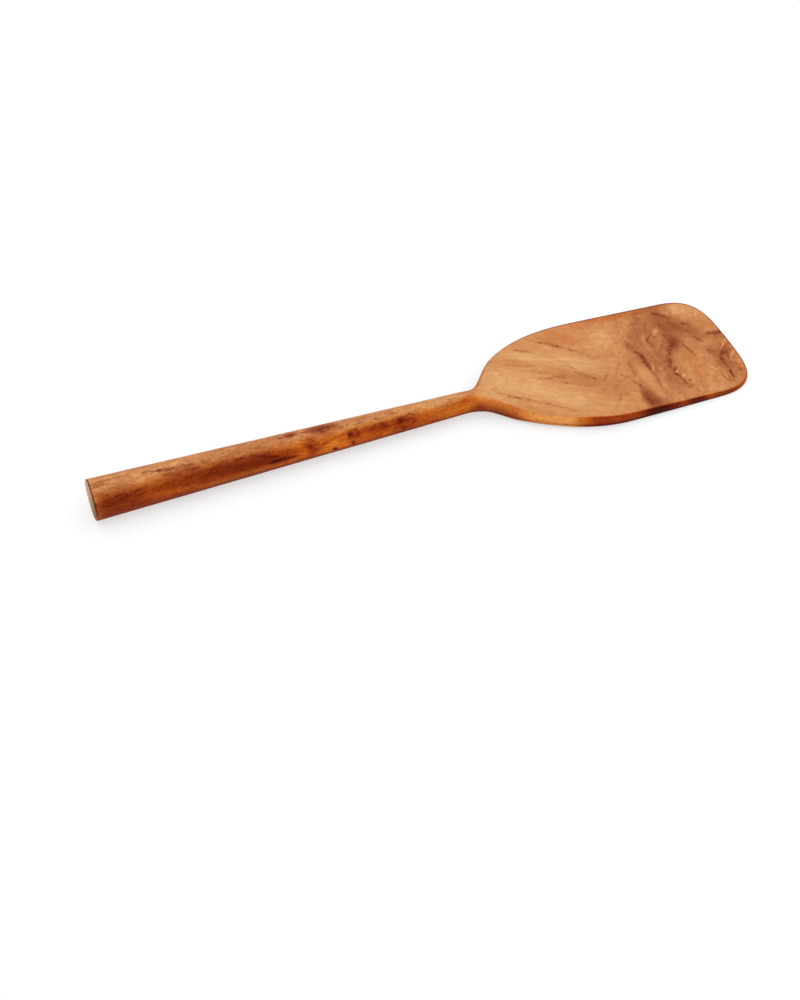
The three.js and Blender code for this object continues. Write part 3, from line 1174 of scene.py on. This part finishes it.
def side_depths(tree, area_marks, flat_spot, handle_share, flecks):
    """Brown, orange, and oil-and-shade depth of the sides and edges, with painted shade under the edges, on
    the right shoulder and along the left edge, and how far the skin is a side.
    """
    x, y, _ = separate(flat_spot)
    level = skin_level(tree)
    turned = level.math("ABSOLUTE").least(1.0).math("ARCCOSINE")
    # The handle's left side turns later and so stays paler: painted sheen
    turned = turned - y.eased(*LEFT_FADE) * handle_share * LEFT_SHEEN_DELAY
    edge_brown, edge_orange, bare = edge_depths(area_marks, flat_spot)
    side = side_share(turned, x, handle_share, bare)

    edge_flecks = flecks * (1.0 - handle_share) * (0.5 + bare * 0.5)
    # Painted shade darkens the skin under the edge
    under_shade = 0.0
    for start, end, depth in UNDER_SHADES:
        under_shade = under_shade + (level * -1.0).eased(start, end) * depth
    under_shade = under_shade * (1.0 - bare.clamped() * BARE_UNDER_SHADE_LOSS)
    # Painted shade low on the right shoulder's edge
    shoulder = add_mark(
        area_marks, flat_spot, SHOULDER_MIDDLE, ALONG, SHOULDER_HALF_LENGTH, EDGE_MARK_HALF_WIDTH
    )
    shoulder_shade = shoulder * (1.0 - level.eased(*SHOULDER_LEVEL_FADE)) * SHOULDER_SHADE
    brown = side * (edge_brown + edge_flecks + under_shade + shoulder_shade)
    # Painted shade along the left edge
    far_rim_shade = turned.eased(*FAR_RIM_TURN) * y.eased(*FAR_RIM_ACROSS) * x.eased(*FAR_RIM_FADE)
    brown = brown + far_rim_shade * FAR_RIM_SHADE
    return brown, side * edge_orange, side * (1.0 - bare), side


def tinted_wood(tree, finish, brown, orange, oil_and_shade):
    """The plain wood's colour, tinted by the three depths."""
    channels = []
    tints = zip(finish.plain_wood, finish.brown_tint, finish.orange_tint, finish.side_tint)
    for plain, brown_share, orange_share, oil_and_shade_share in tints:
        channels.append(plain * brown_share ** brown * orange_share ** orange * oil_and_shade_share ** oil_and_shade)
    return combine(tree, *channels)


def sawn_end(spot, patterns, finish):
    """Colour of the handle's sawn end, which shows growth rings and is brown on one side."""
    _, across, height = separate(spot)
    from_pith = size_of(vectors("SUBTRACT", spot, END_PITH)) + patterns.mottle * END_WAVER
    growth = (from_pith * (2.0 * math.pi / END_RING)).math("SINE")
    # The end grows darker towards its right and lower side
    past_dark_side = (across + height * END_SLANT).eased(*END_DARK_FADE)
    end_darkness = END_DARK_MOST - past_dark_side * END_DARK_DROP + growth * END_RING_BROWN
    end_darkness = patterned(end_darkness, patterns, END_WEIGHTS)
    return mix(end_darkness.clamped(), finish.end_wood, finish.end_dark_side)


def wood_colour(tree, finish):
    """Colour of the wood all over, and the fibres that roughen it."""
    spot = wood_places(tree)
    patterns = wood_patterns(tree, spot)
    area_marks = area_group()
    brown, orange, flat_spot = marked_depths(area_marks, spot)

    x, y, _ = separate(flat_spot)
    handle_share = 1.0 - x.eased(*HANDLE_FADE)
    tip_share = x.eased(*TIP_FADE)
    brown = brown + band_share(x, y) * BAND_BROWN + tip_share * TIP_BROWN
    rows = PATTERN_WEIGHTS.items()
    weights = {name: weighted(row, handle_share, tip_share) for name, row in rows}
    brown = patterned(brown, patterns, weights)
    orange = patterned(orange, patterns, ORANGE_WEIGHTS)

    flecks = patterns.flecks
    side_brown, side_orange, oil_and_shade, side = side_depths(tree, area_marks, flat_spot, handle_share, flecks)
    brown = brown + side_brown
    orange = orange + side_orange

    # Beside the sawn end a paler band is a painted highlight, and the rim over it is dark
    from_butt, _, height = separate(spot)
    rim_highlight = side * (1.0 - from_butt.eased(*RIM_HIGHLIGHT_FADE))
    oil_and_shade = oil_and_shade - rim_highlight * RIM_HIGHLIGHT_OIL
    rim = from_butt.eased(*RIM_START_FADE) * (1.0 - from_butt.eased(*RIM_END_FADE))
    brown = brown - rim_highlight * RIM_HIGHLIGHT_BROWN + rim * height.eased(*BUTT_RIM_HEIGHT) * BUTT_RIM_BROWN

    wood = tinted_wood(tree, finish, brown, orange, oil_and_shade)
    sawn = 1.0 - from_butt.eased(*SAWN_FADE)
    return mix(sawn, wood, sawn_end(spot, patterns, finish)), patterns.fibres


def wood_material(finish):
    """Oiled teak, with its figure in the nodes."""
    material = bpy.data.materials.new("oiled_teak_figure")
    material.use_nodes = True
    tree = material.node_tree
    shader = tree.nodes["Principled BSDF"]
    wood, fibres = wood_colour(tree, finish)
    plug(tree, wood, shader.inputs["Base Color"])
    plug(tree, finish.roughness + fibres * FIBRE_ROUGHNESS, shader.inputs["Roughness"])
    shader.inputs["Specular IOR Level"].default_value = GLOSS

    bump = tree.nodes.new("ShaderNodeBump")
    bump.inputs["Strength"].default_value = FIBRE_BUMP
    bump.inputs["Distance"].default_value = FIBRE_HEIGHT
    plug(tree, fibres, bump.inputs["Height"])
    tree.links.new(bump.outputs["Normal"], shader.inputs["Normal"])
    return material


class SPATULA_OT_carve_body(bpy.types.Operator):
    """Loft the body, finish it in oiled wood and set it on its frame"""

    bl_idname = "spatula.carve_body"
    bl_label = "Carve Body"

    def execute(self, context):
        sizes = context.scene.spatula_sizes
        material = wood_material(context.scene.spatula_finish)
        tree = loft_tree(material)

        blank = bpy.data.objects.new("blank", bpy.data.meshes.new("blank"))
        context.scene.collection.objects.link(blank)
        modifier = blank.modifiers.new("Loft", "NODES")
        modifier.node_group = tree
        inputs = [item for item in tree.interface.items_tree if item.in_out == "INPUT"]
        for item, key in zip(inputs, SpatulaSizes.__annotations__):
            modifier[item.identifier] = getattr(sizes, key)
        carved = blank.evaluated_get(context.evaluated_depsgraph_get())
        mesh = bpy.data.meshes.new_from_object(carved)
        bpy.data.objects.remove(blank)

        mesh.name = "carved_body"
        body = bpy.data.objects.new("carved_body", mesh)
        context.scene.collection.objects.link(body)
        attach(body, "root")
        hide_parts(BODY_NODE)
        return {"FINISHED"}


# The stage

FLOOR_HALF = 4.0
SENSOR_WIDTH = 36.0


def seen_rays(tree):
    """1 for rays that show a surface or mirror it, 0 for rays that light the object."""
    path = tree.nodes.new("ShaderNodeLightPath")
    seen = Wire(tree, path.outputs["Is Camera Ray"])
    for name in ("Is Glossy Ray", "Is Transmission Ray"):
        seen = seen.most(Wire(tree, path.outputs[name]))
    return seen


def floor_material(stage):
    """Matt white, with a share of plain white where it is seen, so that only the nearest shadow shows."""
    material = bpy.data.materials.new("white_table")
    material.use_nodes = True
    tree = material.node_tree
    shader = tree.nodes["Principled BSDF"]
    shader.inputs["Base Color"].default_value = (*stage.floor_colour, 1.0)
    shader.inputs["Roughness"].default_value = 1.0
    shader.inputs["Specular IOR Level"].default_value = 0.0
    white = tree.nodes.new("ShaderNodeEmission")
    blend = tree.nodes.new("ShaderNodeMixShader")
    plug(tree, seen_rays(tree) * stage.floor_glow, blend.inputs["Fac"])
    tree.links.new(shader.outputs["BSDF"], blend.inputs[1])
    tree.links.new(white.outputs["Emission"], blend.inputs[2])
    tree.links.new(blend.outputs["Shader"], tree.nodes["Material Output"].inputs["Surface"])
    return material


def add_floor(scene, stage):
    """A wide flat table under the spatula."""
    mesh = bpy.data.meshes.new("table")
    shape = bmesh.new()
    bmesh.ops.create_grid(shape, x_segments=1, y_segments=1, size=FLOOR_HALF)
    shape.to_mesh(mesh)
    shape.free()
    mesh.materials.append(floor_material(stage))
    floor = bpy.data.objects.new("table", mesh)
    scene.collection.objects.link(floor)


def add_lamp(scene, stage):
    """A wide soft lamp overhead, a little in front of the spatula as the camera sees it."""
    lamp = bpy.data.lights.new("soft_lamp", "SUN")
    lamp.energy = stage.lamp
    lamp.angle = stage.lamp_spread
    holder = bpy.data.objects.new("soft_lamp", lamp)
    holder.rotation_euler = (-stage.lamp_tilt, 0.0, stage.azimuth)
    scene.collection.objects.link(holder)


def add_sky(scene, stage):
    """Even light, which looks white behind the object and in what it mirrors."""
    world = bpy.data.worlds.new("studio")
    world.use_nodes = True
    scene.world = world
    tree = world.node_tree
    background = tree.nodes["Background"]
    background.inputs["Color"].default_value = (1.0, 1.0, 1.0, 1.0)
    plug(tree, seen_rays(tree) * (1.0 - stage.sky) + stage.sky, background.inputs["Strength"])


def add_camera(scene, stage):
    """The camera, which looks down at its aim point."""
    camera = bpy.data.cameras.new("camera")
    camera.lens = stage.lens
    camera.sensor_width = SENSOR_WIDTH
    holder = bpy.data.objects.new("camera", camera)
    flat = math.cos(stage.elevation)
    back = Vector((
        math.sin(stage.azimuth) * flat,
        -math.cos(stage.azimuth) * flat,
        math.sin(stage.elevation),
    ))
    holder.location = Vector(stage.aim) + back * stage.distance
    holder.rotation_euler = back.to_track_quat("Z", "Y").to_euler()
    scene.collection.objects.link(holder)
    scene.camera = holder


class SPATULA_OT_set_stage(bpy.types.Operator):
    """Add the table, the lamp, the sky and the camera"""

    bl_idname = "spatula.set_stage"
    bl_label = "Set Stage"

    def execute(self, context):
        scene = context.scene
        stage = scene.spatula_stage
        scene.view_settings.view_transform = "Standard"
        add_floor(scene, stage)
        add_lamp(scene, stage)
        add_sky(scene, stage)
        add_camera(scene, stage)
        return {"FINISHED"}


class SPATULA_PT_sidebar(bpy.types.Panel):
    """Sizes, finish and stage of the spatula"""

    bl_idname = "SPATULA_PT_sidebar"
    bl_label = "Wooden Spatula"
    bl_space_type = "VIEW_3D"
    bl_region_type = "UI"
    bl_category = "Spatula"

    def draw(self, context):
        for title, group in (
            ("Sizes", context.scene.spatula_sizes),
            ("Finish", context.scene.spatula_finish),
            ("Stage", context.scene.spatula_stage),
        ):
            column = self.layout.box().column()
            column.label(text=title)
            for key in group.__annotations__:
                column.prop(group, key)
        self.layout.operator(SPATULA_OT_carve_body.bl_idname)
        self.layout.operator(SPATULA_OT_set_stage.bl_idname)


CLASSES = (
    SpatulaSizes,
    SpatulaFinish,
    SpatulaStage,
    SPATULA_OT_carve_body,
    SPATULA_OT_set_stage,
    SPATULA_PT_sidebar,
)
SCENE_GROUPS = {
    "spatula_sizes": SpatulaSizes,
    "spatula_finish": SpatulaFinish,
    "spatula_stage": SpatulaStage,
}


def register():
    for cls in CLASSES:
        bpy.utils.register_class(cls)
    for name, group in SCENE_GROUPS.items():
        setattr(bpy.types.Scene, name, PointerProperty(type=group))


def unregister():
    for name in SCENE_GROUPS:
        delattr(bpy.types.Scene, name)
    for cls in reversed(CLASSES):
        bpy.utils.unregister_class(cls)


def main():
    register()
    bpy.ops.spatula.set_stage()
    bpy.ops.spatula.carve_body()
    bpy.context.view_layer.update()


if __name__ == "__main__":
    main()
